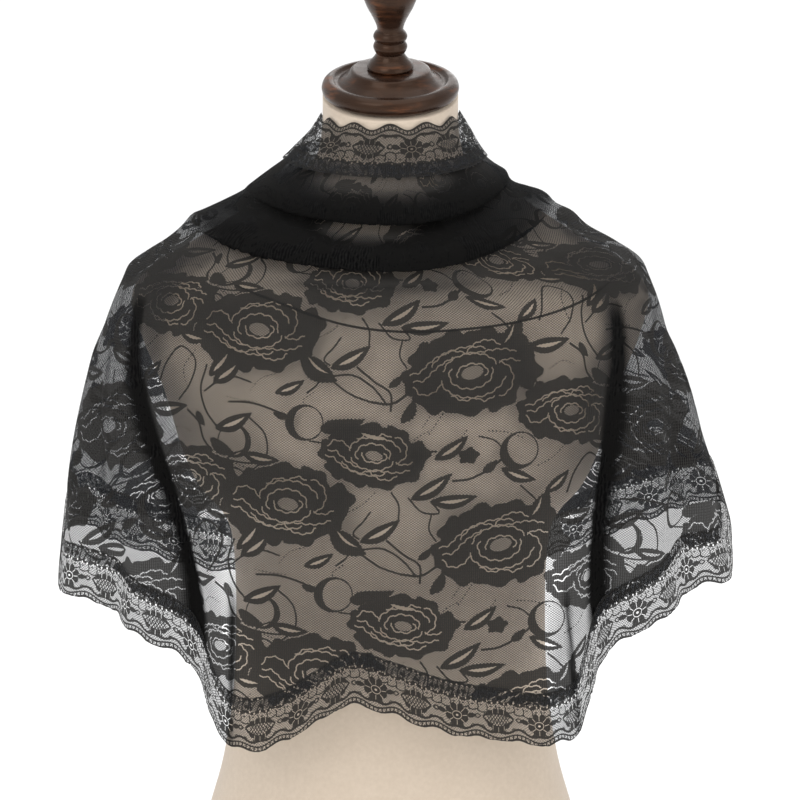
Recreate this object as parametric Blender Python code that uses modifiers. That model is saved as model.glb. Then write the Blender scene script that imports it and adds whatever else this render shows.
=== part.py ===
"""Black lace shawl, a scallop-edged tube of floral lace, worn on a limbless dress form.

Run with: blender --background --python part.py
Sizes in the tables are millimetres, MM turns them into Blender's metres. The front faces -Y and
the stand's underside is the origin. An angle runs round the form from the middle of the front
(0) over the wearer's left (+90, at +X) to the middle of the back (180). A drop is measured down
from the top of the neck.
"""
import math
from collections import namedtuple

import bmesh
import bpy
import numpy as np
from mathutils import Matrix

MM = 0.001

# ---------------------------------------------------------------- driving sizes, in millimetres
NECK_TOP = 800.0           # height of the form's neck above the table
CLOTH = 1.2                # wall of the lace net and of the lace edging
SEAM_GAP = 0.3             # air between two pieces that touch
SIDE_GAP = 0.5             # between the middles of the front's and the back's edges, cut a little aslant
TRIM_HEIGHT = 32.0         # lace edging that shows beyond the net
TRIM_OVERLAP = 11.0        # edging sewn over the net's edge
SCALLOP_DEPTH = 2.6        # half the height of a scallop
FRONT_SCALLOPS = 18        # round half of the hem
BACK_SCALLOPS = 17
NECK_SCALLOPS = 5          # round half of the neck edge
SCALLOP_STEPS = 3          # columns of the wall to each scallop
COLLAR_GAP = 0.6           # air between the net and the neck's edging, which has fewer columns

NECK_TILT = math.radians(14.5)   # the neck and its cap lean forward
POLE_TOP = 121.0
BASE_RADIUS = 135.0

# ---------------------------------------------------------------- the dress form, one row a section
# half: half the width, front and back: reach from the form's middle, power: 2 is an ellipse and
# more is squarer, lean: how far the section tips forward, as a share of the neck's tilt
FormSection = namedtuple("FormSection", "drop half front back power lean")
FORM_SECTIONS = [FormSection(*row) for row in (
    (11.0, 53.4, 60.5, 43.5, 2.0, 1.0),
    (29.0, 53.6, 59.0, 46.5, 2.0, 0.65),
    (47.0, 55.0, 57.5, 50.5, 2.0, 0.25),
    (62.0, 60.0, 57.5, 55.5, 2.0, 0.0),
    (76.0, 77.0, 60.0, 62.0, 2.0, 0.0),
    (95.0, 106.0, 62.0, 68.0, 2.0, 0.0),
    (109.5, 128.0, 64.5, 74.0, 2.0, 0.0),
    (123.5, 150.0, 68.0, 80.0, 2.0, 0.0),
    (136.0, 171.0, 73.0, 85.0, 2.0, 0.0),
    (146.0, 188.0, 79.0, 89.5, 2.0, 0.0),
    (158.0, 200.0, 84.5, 94.0, 2.05, 0.0),
    (174.0, 205.5, 92.0, 98.0, 2.1, 0.0),
    (206.0, 197.0, 103.0, 101.0, 2.1, 0.0),
    (245.0, 181.0, 115.0, 101.5, 2.1, 0.0),
    (290.0, 168.0, 122.0, 98.0, 2.1, 0.0),
    (320.0, 155.0, 121.0, 94.5, 2.15, 0.0),
    (342.0, 136.0, 117.0, 91.0, 2.2, 0.0),
    (366.0, 127.0, 110.5, 86.5, 2.2, 0.0),
    (420.0, 124.5, 99.0, 79.0, 2.2, 0.0),
    (490.0, 127.0, 92.5, 76.5, 2.2, 0.0),
    (550.0, 136.0, 94.5, 87.0, 2.2, 0.0),
    (605.0, 151.0, 100.0, 102.5, 2.2, 0.0),
    (655.0, 158.0, 101.0, 110.0, 2.2, 0.0),
    (674.0, 151.0, 94.0, 103.5, 2.2, 0.0),
    (678.7, 139.0, 84.0, 92.0, 2.2, 0.0),
)]
FORM_POINTS = 36

# ---------------------------------------------------------------- turned wood, radius and height
# heights are measured from the middle of the neck cap's rim, along the tilted neck
CAP_PROFILE = [
    (0.0, -8.6), (44.0, -8.6), (49.5, -7.4), (53.2, -4.0), (54.2, 0.4), (52.8, 4.6),
    (49.2, 7.3), (45.6, 7.6), (43.6, 5.2), (41.2, 4.9), (38.6, 6.4), (35.2, 8.6), (32.6, 11.6),
    (31.2, 14.6), (28.6, 15.6), (0.0, 15.6),
]
FINIAL_PROFILE = [
    (0.0, 15.9), (17.6, 15.9), (18.4, 17.4), (17.2, 20.4), (13.2, 24.6), (10.8, 28.4),
    (12.4, 30.6), (13.6, 34.0), (12.4, 37.2), (11.2, 38.2), (12.4, 39.4), (13.6, 42.4),
    (12.2, 45.6), (10.0, 47.4), (10.8, 52.0), (14.0, 59.0), (18.4, 67.0), (21.2, 74.4),
    (21.8, 79.0), (20.8, 80.4), (21.6, 82.0), (20.2, 88.4), (15.8, 95.0), (8.6, 100.4), (0.0, 102.4),
]
# heights are measured from the table
STAND_PROFILE = [
    (0.0, 0.0), (BASE_RADIUS - 2.0, 0.0), (BASE_RADIUS, 2.0), (BASE_RADIUS, 12.0),
    (BASE_RADIUS - 4.0, 17.0), (BASE_RADIUS - 12.0, 19.0), (62.0, 23.0), (34.0, 29.0), (23.0, 38.0),
    (19.0, 52.0), (18.0, 70.0), (18.0, 108.0), (24.0, 116.0), (24.0, POLE_TOP), (0.0, POLE_TOP),
]
TURNED_STEPS = 24
TURNED_MERGE = 0.02        # points on the axis closer than this are one point

# ---------------------------------------------------------------- the cloth, one row a section
# Reaches are to the middle of the wall. The two rolls of the draped neck go out and down to a
# lip, back up behind it to a tuck, and down again as the next layer.
YokeSection = namedtuple(
    "YokeSection", "front front_drop left left_drop right right_drop back back_drop side_y")
YOKE_SECTIONS = [YokeSection(*row) for row in (
    (60.3, 31.0, 53.0, 29.0, 53.0, 27.0, 47.4, 27.0, 0.0),      # scalloped edge, held by the neck
    (64.5, 45.0, 62.0, 41.5, 61.5, 39.5, 53.0, 40.5, 0.0),      # middle of the neck edging
    (71.0, 58.5, 74.0, 52.5, 69.0, 51.5, 60.0, 53.0, 0.0),      # the net begins
    (77.0, 69.5, 84.0, 62.0, 75.5, 60.0, 65.0, 63.0, 0.0),      # the edging ends
    (87.5, 77.5, 95.0, 70.0, 83.0, 66.0, 70.5, 70.5, 0.0),      # top of the first roll
    (100.5, 91.0, 109.0, 80.5, 92.0, 72.0, 77.5, 80.0, 0.0),    # its lip
    (97.0, 103.5, 110.5, 86.5, 93.0, 78.0, 79.0, 87.0, 0.0),    # underside of the lip
    (84.5, 91.0, 105.0, 83.5, 88.0, 75.5, 75.0, 85.0, 0.0),     # first tuck
    (85.5, 102.0, 106.5, 90.0, 89.5, 81.0, 78.0, 91.5, 1.0),    # the light strip between the rolls
    (99.0, 115.0, 127.0, 94.5, 107.0, 82.5, 86.0, 100.0, 1.0),  # top of the second roll
    (109.5, 126.5, 150.0, 105.5, 123.0, 88.5, 92.5, 111.5, 1.0),   # its lip
    (106.5, 138.5, 152.5, 113.0, 124.5, 95.0, 94.0, 119.0, 2.0),   # underside of the lip
    (97.0, 126.5, 147.0, 110.0, 119.5, 92.5, 90.0, 117.0, 2.0),    # second tuck
    (98.0, 137.5, 149.0, 117.0, 121.0, 98.5, 93.0, 124.0, 2.0),
    (108.5, 149.0, 179.0, 126.5, 158.0, 116.0, 100.0, 139.0, 2.0),  # the third, thin fold
    (106.0, 157.0, 192.0, 134.5, 178.0, 127.0, 102.5, 149.0, 2.0),
    (110.0, 172.0, 209.0, 148.0, 202.0, 146.0, 107.5, 168.0, 2.0),  # the cloth hangs from here
)]
FALL_TOP = len(YOKE_SECTIONS) - 1

# fall: 0 where the cloth begins to hang and 1 at the hem
FallSection = namedtuple("FallSection", "fall front left right back")
FALL_SECTIONS = [FallSection(*row) for row in (
    (0.00, 110.0, 209.0, 202.0, 107.5),
    (0.12, 117.0, 222.0, 213.0, 110.0),
    (0.28, 125.5, 235.5, 223.5, 112.5),
    (0.44, 131.0, 246.5, 236.0, 114.0),
    (0.60, 133.5, 255.0, 248.0, 115.5),
    (0.80, 135.0, 261.5, 262.0, 117.5),
    (1.00, 136.5, 266.5, 274.5, 120.0),
)]
SKIRT_FALLS = (0.10, 0.22, 0.36, 0.52, 0.69, 0.86)   # wall sections, as shares of the net's fall
FALL_POWER = 1.9           # of the hem's section: a little leaner than an ellipse
SIDE_Y = 2.0               # how far behind the form's middle the hanging cloth's sides are
DROP_POWER = 1.3           # how far round the sections keep the front's and the back's drop

# numbers of the sections
NECK_EDGE = 0
NET_TOP = 2
COLLAR_END = 3
HEM_TRIM_TOP = FALL_TOP + len(SKIRT_FALLS) + 1
NET_END = HEM_TRIM_TOP + 1
BACK_SKIPS = (FALL_TOP + 1, FALL_TOP + 3, FALL_TOP + 5)   # left out of the plainer back
NECK_COLUMNS = 28          # of the net's columns, those that the neck edging keeps

# the hem line: angle round the form and drop of the scalloped edge
HemPoint = namedtuple("HemPoint", "angle drop")
HEM_LINE = [HemPoint(*row) for row in (
    (-180, 440), (-150, 421), (-130, 399), (-117, 380), (-105, 364), (-97, 376), (-90, 400),
    (-83, 407), (-70, 406), (-57, 415), (-48, 426), (-42, 441), (-37, 466), (-34, 488),
    (-30, 507), (-20, 506), (-14, 490), (-8, 474), (0, 480), (10, 495), (20, 504), (30, 508),
    (34, 499), (37, 472), (41, 448), (47, 425), (54, 410), (62, 400), (74, 395), (84, 390),
    (90, 376), (97, 353), (105, 345), (118, 356), (132, 374), (150, 408), (180, 440),
)]
HEM_SAMPLES = 241          # points at which half of the hem's length is measured

# folds that run down the hanging cloth: the angle they start and end at, the fall at which they
# start, half their width in degrees, and their depth (a ridge where it is below 0)
Fold = namedtuple("Fold", "top_angle hem_angle start width depth")
FOLDS = [Fold(*row) for row in (
    (-66.0, -38.0, 0.02, 5.0, 21.0),      # deep fold beside the right front
    (-80.0, -49.0, 0.10, 6.0, -9.0),
    (-84.0, -57.0, 0.15, 6.0, 9.0),
    (-88.0, -72.0, 0.25, 6.0, -6.0),
    (58.0, 41.0, 0.02, 5.0, 21.0),        # deep fold beside the left front
    (72.0, 51.0, 0.10, 6.0, -8.0),
    (82.0, 63.0, 0.15, 6.0, 8.0),
    (88.0, 74.0, 0.25, 6.0, -6.0),
    (-104.0, -112.0, 0.10, 6.0, 11.0),    # the same, softer, behind
    (-122.0, -127.0, 0.20, 8.0, -6.0),
    (-140.0, -143.0, 0.15, 7.0, 8.0),
    (-160.0, -161.0, 0.30, 9.0, -4.0),
    (178.0, 177.0, 0.25, 9.0, 5.0),
    (157.0, 158.0, 0.30, 9.0, -4.0),
    (138.0, 141.0, 0.15, 7.0, 8.0),
    (120.0, 126.0, 0.20, 8.0, -6.0),
    (103.0, 111.0, 0.10, 6.0, 11.0),
)]
FOLD_TURN_RATE = 1.15      # a fold has swung over to its hem angle a little above the hem
FOLD_FULL = 0.75           # the fall at which every fold has its whole depth

Surface = namedtuple("Surface", "colour roughness")
SURFACES = {
    "lace": Surface((0.018, 0.017, 0.016, 1.0), 0.75),
    "linen": Surface((0.66, 0.55, 0.43, 1.0), 0.9),
    "dark_wood": Surface((0.045, 0.035, 0.03, 1.0), 0.3),
}


# ---------------------------------------------------------------- small tools
def clear_scene():
    for item in list(bpy.data.objects):
        bpy.data.objects.remove(item, do_unlink=True)


def column(rows, name):
    """One named column of a table, as an array."""
    return np.array([getattr(row, name) for row in rows], dtype=float)


def smooth(at, known_at, known):
    """Smooth curve through known values, read at one or many places."""
    at = np.asarray(at, dtype=float)
    slopes = np.gradient(known, known_at)
    index = np.clip(np.searchsorted(known_at, at, side="right") - 1, 0, len(known_at) - 2)
    span = known_at[index + 1] - known_at[index]
    s = (at - known_at[index]) / span
    return ((2 * s**3 - 3 * s**2 + 1) * known[index] + (s**3 - 2 * s**2 + s) * span * slopes[index]
            + (3 * s**2 - 2 * s**3) * known[index + 1] + (s**3 - s**2) * span * slopes[index + 1])


def ease(value):
    """0 to 1 with soft ends."""
    value = np.clip(value, 0.0, 1.0)
    return value * value * (3 - 2 * value)


def material(name):
    found = bpy.data.materials.get(name)
    if found:
        return found
    surface = SURFACES[name]
    made = bpy.data.materials.new(name)
    made.use_nodes = True
    shader = made.node_tree.nodes["Principled BSDF"]
    shader.inputs["Base Color"].default_value = surface.colour
    shader.inputs["Roughness"].default_value = surface.roughness
    shader.inputs["Metallic"].default_value = 0.0
    return made


def add_object(name, mesh, slot, collection):
    mesh.materials.append(material(slot))
    made = bpy.data.objects.new(name, mesh)
    collection.objects.link(made)
    return made


def grid_mesh(name, points, closed=False, capped=False):
    """A mesh over a grid of points (rows, columns, 3) in millimetres, its faces looking outward."""
    rows, columns = points.shape[:2]
    work = bmesh.new()
    verts = [[work.verts.new(points[i, j] * MM) for j in range(columns)] for i in range(rows)]
    for i in range(rows - 1):
        for j in range(columns if closed else columns - 1):
            k = (j + 1) % columns
            work.faces.new((verts[i][j], verts[i + 1][j], verts[i + 1][k], verts[i][k]))
    if capped:
        work.faces.new(verts[0])
        work.faces.new(list(reversed(verts[-1])))
    mesh = bpy.data.meshes.new(name)
    work.to_mesh(mesh)
    work.free()
    mesh.shade_smooth()
    return mesh


# ---------------------------------------------------------------- the dress form and its wood
def form_ring(row, angles):
    """Points round one section of the form."""
    sine, cosine = np.sin(angles), np.cos(angles)
    x = row.half * np.sign(sine) * np.abs(sine) ** (2 / row.power)
    reach = np.where(cosine > 0, row.front, row.back)
    y = -reach * np.sign(cosine) * np.abs(cosine) ** (2 / row.power)
    z = NECK_TOP - row.drop + y * math.tan(NECK_TILT * row.lean)
    return np.stack([x, y, z], axis=-1)


def build_form(collection):
    angles = np.arange(FORM_POINTS) * 2 * math.pi / FORM_POINTS
    points = np.array([form_ring(row, angles) for row in FORM_SECTIONS])
    mesh = grid_mesh("form_torso", points, closed=True, capped=True)
    add_object("form_torso", mesh, "linen", collection)


def turned(name, profile, place, collection):
    """A turned piece: its profile spun round its own axis."""
    mesh = bpy.data.meshes.new(name)
    points = [(radius * MM, 0.0, height * MM) for radius, height in reversed(profile)]
    mesh.from_pydata(points, [(i, i + 1) for i in range(len(points) - 1)], [])
    piece = add_object(name, mesh, "dark_wood", collection)
    spin = piece.modifiers.new("turned", "SCREW")
    spin.steps = TURNED_STEPS
    spin.render_steps = TURNED_STEPS
    spin.use_merge_vertices = True
    spin.merge_threshold = TURNED_MERGE * MM
    spin.use_smooth_shade = True
    piece.matrix_world = place


def build_wood(collection):
    neck = FORM_SECTIONS[0]
    middle_y = (neck.back - neck.front) / 2
    neck_drop = neck.drop - middle_y * math.tan(NECK_TILT)
    lift = -CAP_PROFILE[0][1] + SEAM_GAP
    rim_y = middle_y - lift * math.sin(NECK_TILT)
    rim_z = NECK_TOP - neck_drop + lift * math.cos(NECK_TILT)
    tilted = Matrix.Translation((0.0, rim_y * MM, rim_z * MM)) @ Matrix.Rotation(NECK_TILT, 4, "X")
    turned("neck_cap", CAP_PROFILE, tilted, collection)
    turned("finial", FINIAL_PROFILE, tilted, collection)
    turned("stand", STAND_PROFILE, Matrix.Identity(4), collection)


# ---------------------------------------------------------------- the cloth's form
def hem_drop(angle):
    return smooth(angle, column(HEM_LINE, "angle"), column(HEM_LINE, "drop"))


def round_point(angle, section, power, side_y):
    """The point of a section at an angle in degrees, level with the neck's top."""
    turn = math.radians(angle)
    sine, cosine = math.sin(turn), math.cos(turn)
    side = section.right if sine > 0 else section.left
    reach = section.front if cosine > 0 else section.back
    x = side * math.copysign(abs(sine) ** (2 / power), sine)
    y = side_y - math.copysign(reach * abs(cosine) ** (2 / power), cosine)
    return np.array([x, y, NECK_TOP])


def yoke_point(angle, section):
    """The point of one of the yoke's sections, lower or higher in front and behind than beside."""
    point = round_point(angle, section, 2.0, section.side_y)
    turn = math.radians(angle)
    rightward = ease((math.sin(turn) + 1) / 2)
    side_drop = section.left_drop + (section.right_drop - section.left_drop) * rightward
    drop = section.front_drop if math.cos(turn) > 0 else section.back_drop
    point[2] -= side_drop + (drop - side_drop) * abs(math.cos(turn)) ** DROP_POWER
    return point


def fold_depth(angle, fall):
    """How far the folds take the hanging cloth inward."""
    depth = 0.0
    for fold in FOLDS:
        middle = fold.top_angle + (fold.hem_angle - fold.top_angle) * ease(fall * FOLD_TURN_RATE)
        away = (angle - middle + 180) % 360 - 180
        grown = ease((fall - fold.start) / (FOLD_FULL - fold.start))
        depth += fold.depth * grown * math.exp(-((away / fold.width) ** 2))
    return depth


def fall_section(fall):
    """The section of the hanging cloth at one fall, read smoothly from the table."""
    known = column(FALL_SECTIONS, "fall")
    return FallSection(*(float(smooth(fall, known, column(FALL_SECTIONS, name)))
                         for name in FallSection._fields))


def column_sections(angle):
    """The points of every section of the cloth at one angle, from the neck edge to the hem."""
    angle = (angle + 180) % 360 - 180
    turn = math.radians(angle)
    points = [yoke_point(angle, section) for section in YOKE_SECTIONS]
    top = points[-1][2]
    length = top - (NECK_TOP - hem_drop(angle))
    net_end = 1 - (TRIM_HEIGHT + TRIM_OVERLAP) / length
    hem_falls = [share * net_end for share in SKIRT_FALLS]
    hem_falls += [net_end, 1 - TRIM_HEIGHT / length, 1.0]
    for fall in hem_falls:
        section = fall_section(fall)
        point = round_point(angle, section, 2.0 + (FALL_POWER - 2.0) * fall, SIDE_Y)
        side = section.right if turn > 0 else section.left
        depth = section.front if math.cos(turn) > 0 else section.back
        outward = np.array([math.sin(turn) / side, -math.cos(turn) / depth, 0.0])
        point -= outward / np.linalg.norm(outward) * fold_depth(angle, fall)
        point[2] = top - length * fall
        points.append(point)
    return np.array(points)


def hem_angles(first, last, count):
    """Angles at which the hem's length is shared out evenly."""
    fine = np.linspace(first, last, HEM_SAMPLES)
    hem = np.array([column_sections(angle)[-1] for angle in fine])
    steps = np.linalg.norm(np.diff(hem, axis=0), axis=1)
    length = np.concatenate([[0.0], np.cumsum(steps)])
    return np.interp(np.linspace(0.0, length[-1], count), length, fine)


def outward_normals(points):
    """Unit normals of a grid of points, looking out of the cloth."""
    down = np.gradient(points, axis=0)
    across = np.gradient(points, axis=1)
    normals = np.cross(down, across)
    return normals / np.linalg.norm(normals, axis=2, keepdims=True)


def part_at_sides(points):
    """Draws both side edges in by half of the side seam's gap."""
    parted = points.copy()
    for edge, inside in ((0, 1), (-1, -2)):
        toward = points[:, inside] - points[:, edge]
        toward /= np.linalg.norm(toward, axis=1, keepdims=True)
        parted[:, edge] += toward * SIDE_GAP / 2
    return parted


def scalloped(points, edge, waves):
    """Waves the free edge of an edging up and down."""
    wave = np.cos(np.linspace(0.0, 2 * math.pi * waves, points.shape[1]))
    waved = points.copy()
    waved[edge, :, 2] += wave * SCALLOP_DEPTH
    return waved


def sheet(name, points, collection):
    """A wall of cloth on a grid of points at its middle."""
    piece = add_object(name, grid_mesh(name, part_at_sides(points)), "lace", collection)
    wall = piece.modifiers.new("cloth", "SOLIDIFY")
    wall.thickness = CLOTH * MM
    wall.offset = 0.0
    wall.use_even_offset = False


def build_cloth(half, first, last, scallops, net_rows, collection):
    """The net of one half of the tube, with the edging on its neck and its hem."""
    angles = hem_angles(first, last, scallops * SCALLOP_STEPS + 1)
    points = np.array([column_sections(angle) for angle in angles]).transpose(1, 0, 2)
    outward = outward_normals(points)
    sheet("shawl_" + half, points[net_rows], collection)
    spread = np.linspace(0, len(angles) - 1, NECK_COLUMNS).round().astype(int)
    raised = points + outward * (CLOTH + COLLAR_GAP)
    collar = scalloped(raised[NECK_EDGE:COLLAR_END + 1, spread], 0, NECK_SCALLOPS)
    sheet("collar_trim_" + half, collar, collection)
    raised = points + outward * (CLOTH + SEAM_GAP)
    hem = scalloped(raised[HEM_TRIM_TOP:], -1, scallops)
    sheet("hem_trim_" + half, hem, collection)


def build_shawl(collection):
    net_rows = list(range(NET_TOP, NET_END + 1))
    back_rows = [row for row in net_rows if row not in BACK_SKIPS]
    build_cloth("front", -90.0, 90.0, FRONT_SCALLOPS, net_rows, collection)
    build_cloth("back", 90.0, 270.0, BACK_SCALLOPS, back_rows, collection)


def main():
    clear_scene()
    collection = bpy.data.collections.new("lace_shawl_on_dress_form")
    bpy.context.scene.collection.children.link(collection)
    build_form(collection)
    build_wood(collection)
    build_shawl(collection)


main()
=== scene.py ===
"""Looks of the lace shawl on its dress form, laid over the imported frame."""
import math

import bpy
import numpy as np
from mathutils import Matrix, Vector
from mathutils.geometry import delaunay_2d_cdt


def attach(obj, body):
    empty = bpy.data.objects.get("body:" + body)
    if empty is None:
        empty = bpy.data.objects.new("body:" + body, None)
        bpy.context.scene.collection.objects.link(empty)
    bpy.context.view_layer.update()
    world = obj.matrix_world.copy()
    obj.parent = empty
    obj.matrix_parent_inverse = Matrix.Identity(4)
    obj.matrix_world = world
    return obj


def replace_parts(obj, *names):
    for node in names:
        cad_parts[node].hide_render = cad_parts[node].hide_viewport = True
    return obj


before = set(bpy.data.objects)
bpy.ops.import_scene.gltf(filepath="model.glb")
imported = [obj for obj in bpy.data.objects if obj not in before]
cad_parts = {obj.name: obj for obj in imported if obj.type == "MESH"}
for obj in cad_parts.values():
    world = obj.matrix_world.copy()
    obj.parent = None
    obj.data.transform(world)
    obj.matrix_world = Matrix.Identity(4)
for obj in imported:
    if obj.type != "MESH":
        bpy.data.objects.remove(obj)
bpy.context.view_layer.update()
MM = 0.001
NECK_TOP = 800.0

# ---- the frame's own tables, in millimetres
# drop, half width, front and back reach, power, lean of each section of the form
FORM_SECTIONS = [
    (11, 53.4, 60.5, 43.5, 2, 1), (29, 53.6, 59, 46.5, 2, 0.65), (47, 55, 57.5, 50.5, 2, 0.25),
    (62, 60, 57.5, 55.5, 2, 0), (76, 77, 60, 62, 2, 0), (95, 106, 62, 68, 2, 0),
    (109.5, 128, 64.5, 74, 2, 0), (123.5, 150, 68, 80, 2, 0), (136, 171, 73, 85, 2, 0),
    (146, 188, 79, 89.5, 2, 0), (158, 200, 84.5, 94, 2.05, 0), (174, 205.5, 92, 98, 2.1, 0),
    (206, 197, 103, 101, 2.1, 0), (245, 181, 115, 101.5, 2.1, 0), (290, 168, 122, 98, 2.1, 0),
    (320, 155, 121, 94.5, 2.15, 0), (342, 136, 117, 91, 2.2, 0), (366, 127, 110.5, 86.5, 2.2, 0),
    (420, 124.5, 99, 79, 2.2, 0), (490, 127, 92.5, 76.5, 2.2, 0), (550, 136, 94.5, 87, 2.2, 0),
    (605, 151, 100, 102.5, 2.2, 0), (655, 158, 101, 110, 2.2, 0), (674, 151, 94, 103.5, 2.2, 0),
    (678.7, 139, 84, 92, 2.2, 0),
]

# radius and height of the turned wood, the first two from the cap's rim along the tilted neck
BASE_RADIUS = 135.0
POLE_TOP = 121.0
CAP_PROFILE = [
    (0, -8.6), (44, -8.6), (49.5, -7.4), (53.2, -4), (54.2, 0.4), (52.8, 4.6),
    (49.2, 7.3), (45.6, 7.6), (43.6, 5.2), (41.2, 4.9), (38.6, 6.4), (35.2, 8.6), (32.6, 11.6),
    (31.2, 14.6), (28.6, 15.6), (0, 15.6),
]
FINIAL_PROFILE = [
    (0, 15.9), (17.6, 15.9), (18.4, 17.4), (17.2, 20.4), (13.2, 24.6), (10.8, 28.4),
    (12.4, 30.6), (13.6, 34), (12.4, 37.2), (11.2, 38.2), (12.4, 39.4), (13.6, 42.4),
    (12.2, 45.6), (10, 47.4), (10.8, 52), (14, 59), (18.4, 67), (21.2, 74.4),
    (21.8, 79), (20.8, 80.4), (21.6, 82), (20.2, 88.4), (15.8, 95), (8.6, 100.4), (0, 102.4),
]
# heights are measured from the table
STAND_PROFILE = [
    (0, 0), (BASE_RADIUS - 2, 0), (BASE_RADIUS, 2), (BASE_RADIUS, 12),
    (BASE_RADIUS - 4, 17), (BASE_RADIUS - 12, 19), (62, 23), (34, 29), (23, 38),
    (19, 52), (18, 70), (18, 108), (24, 116), (24, POLE_TOP), (0, POLE_TOP),
]

# reach and drop of each section in front, left, right and behind, and its sides' y
YOKE_SECTIONS = [
    (60.3, 31, 53, 29, 53, 27, 47.4, 27, 0),  # scalloped edge, held by the neck
    (64.5, 45, 62, 41.5, 61.5, 39.5, 53, 40.5, 0),  # middle of the neck edging
    (71, 58.5, 74, 52.5, 69, 51.5, 60, 53, 0),  # the net begins
    (77, 69.5, 84, 62, 75.5, 60, 65, 63, 0),  # the edging ends
    (87.5, 77.5, 95, 70, 83, 66, 70.5, 70.5, 0),  # top of the first roll
    (100.5, 91, 109, 80.5, 92, 72, 77.5, 80, 0),  # its lip
    (97, 103.5, 113.5, 84, 94, 76.5, 79, 87, 0),  # underside of the lip
    (84.5, 91, 115, 86, 95, 78.5, 75, 85, 0),  # first tuck
    (85.5, 102, 119, 88.5, 98, 80.5, 78, 91.5, 1),  # the light strip between the rolls
    (99, 115, 130, 94, 108, 83.5, 86, 100, 1),  # top of the second roll
    (109.5, 126.5, 151, 104.5, 123, 89, 92.5, 111.5, 1),  # its lip
    (106.5, 138.5, 157, 108.5, 127.5, 93.5, 94, 119, 2),  # underside of the lip
    (97, 126.5, 160, 111.5, 130, 96.5, 90, 117, 2),  # second tuck
    (98, 137.5, 166, 116.5, 137, 101, 93, 124, 2),
    (108.5, 149, 179, 126.5, 158, 116, 100, 139, 2),  # the third, thin fold
    (106, 157, 192, 134.5, 178, 127, 102.5, 149, 2),
    (110, 172, 209, 148, 202, 146, 107.5, 168, 2),  # the cloth hangs from here
]

# share of the fall, then the reaches in front, left, right and behind
FALL_SECTIONS = [
    (0.00, 110, 209, 202, 107.5),
    (0.12, 117, 222, 213, 110),
    (0.28, 125.5, 235.5, 223.5, 112.5),
    (0.44, 131, 246.5, 236, 114),
    (0.60, 133.5, 255, 248, 115.5),
    (0.80, 135, 261.5, 262, 117.5),
    (1.00, 136.5, 266.5, 274.5, 120),
]

# angle and drop of the hem
HEM_LINE = [
    (-180, 440), (-150, 421), (-130, 399), (-117, 380), (-105, 364), (-97, 376), (-90, 400),
    (-83, 407), (-70, 406), (-57, 415), (-48, 426), (-42, 441), (-37, 466), (-34, 488),
    (-30, 507), (-20, 506), (-14, 490), (-8, 474), (0, 480), (10, 495), (20, 504), (30, 508),
    (34, 499), (37, 472), (41, 448), (47, 425), (54, 410), (62, 400), (74, 395), (84, 390),
    (90, 376), (97, 353), (105, 345), (118, 356), (132, 374), (150, 408), (180, 440),
]

# top angle, hem angle, start, width and depth of each fold that hangs
FOLDS = [
    (-66, -38, 0.02, 5, 21),  # deep fold beside the right front
    (-80, -49, 0.10, 6, -9),
    (-84, -57, 0.15, 6, 9),
    (-88, -72, 0.25, 6, -6),
    (58, 41, 0.02, 5, 21),  # deep fold beside the left front
    (72, 51, 0.10, 6, -8),
    (82, 63, 0.15, 6, 8),
    (88, 74, 0.25, 6, -6),
    (-104, -112, 0.10, 6, 11),  # the same, softer, behind
    (-122, -127, 0.20, 8, -6),
    (-140, -143, 0.15, 7, 8),
    (-160, -161, 0.30, 9, -4),
    (178, 177, 0.25, 9, 5),
    (157, 158, 0.30, 9, -4),
    (138, 141, 0.15, 7, 8),
    (120, 126, 0.20, 8, -6),
    (103, 111, 0.10, 6, 11),
]

CLOTH, SEAM_GAP = 1.2, 0.3
TRIM_HEIGHT, TRIM_OVERLAP, SCALLOP_DEPTH = 32.0, 11.0, 2.6
TRIM = TRIM_HEIGHT + TRIM_OVERLAP
FRONT_SCALLOPS, BACK_SCALLOPS, NECK_FRONT, NECK_BACK = 24, 20, 6, 5
NECK_TILT = math.radians(14.5)
PHI = np.linspace(-180.0, 180.0, 721)
SINE, COSINE = np.sin(np.radians(PHI)), np.cos(np.radians(PHI))
STEP = 2.0                 # mm between the points of the cloth's flat chart
LEVEL = 178.0              # from this drop down the chart has the cloth's true widths
STEPS = 10                 # samples between two sections of the yoke
FALL_START = 0.03          # share of the fall where the yoke's last curve ends
FALL_SAMPLES = 70


def hermite(s, start, start_rise, end, end_rise):
    """A cubic between two values, from their rises over the whole gap."""
    return ((2 * s**3 - 3 * s**2 + 1) * start + (s**3 - 2 * s**2 + s) * start_rise
            + (3 * s**2 - 2 * s**3) * end + (s**3 - s**2) * end_rise)


def smooth(at, known_at, known):
    """Values between known ones, on a smooth curve."""
    at = np.asarray(at, dtype=float)
    slopes = np.gradient(known, known_at)
    i = np.clip(np.searchsorted(known_at, at, side="right") - 1, 0, len(known_at) - 2)
    span = known_at[i + 1] - known_at[i]
    return hermite((at - known_at[i]) / span, known[i], span * slopes[i], known[i + 1],
                   span * slopes[i + 1])


def ease(value):
    value = np.clip(value, 0.0, 1.0)
    return value * value * (3 - 2 * value)


def bell(value):
    return np.exp(-(value ** 2))


def half_turn(phi):
    """Angles brought into -180 to 180 degrees."""
    return (phi + 180) % 360 - 180


def powered(wave, power):
    """A sine or cosine of a rounded square's outline, an ellipse's at a power of 2."""
    return np.sign(wave) * np.abs(wave) ** (2 / power)


# ---- the cloth's form
def round_row(front, left, right, back, power, side_y):
    side = np.where(SINE > 0, right, left)
    reach = np.where(COSINE > 0, front, back)
    return side * powered(SINE, power), side_y - reach * powered(COSINE, power), side, reach


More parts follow.
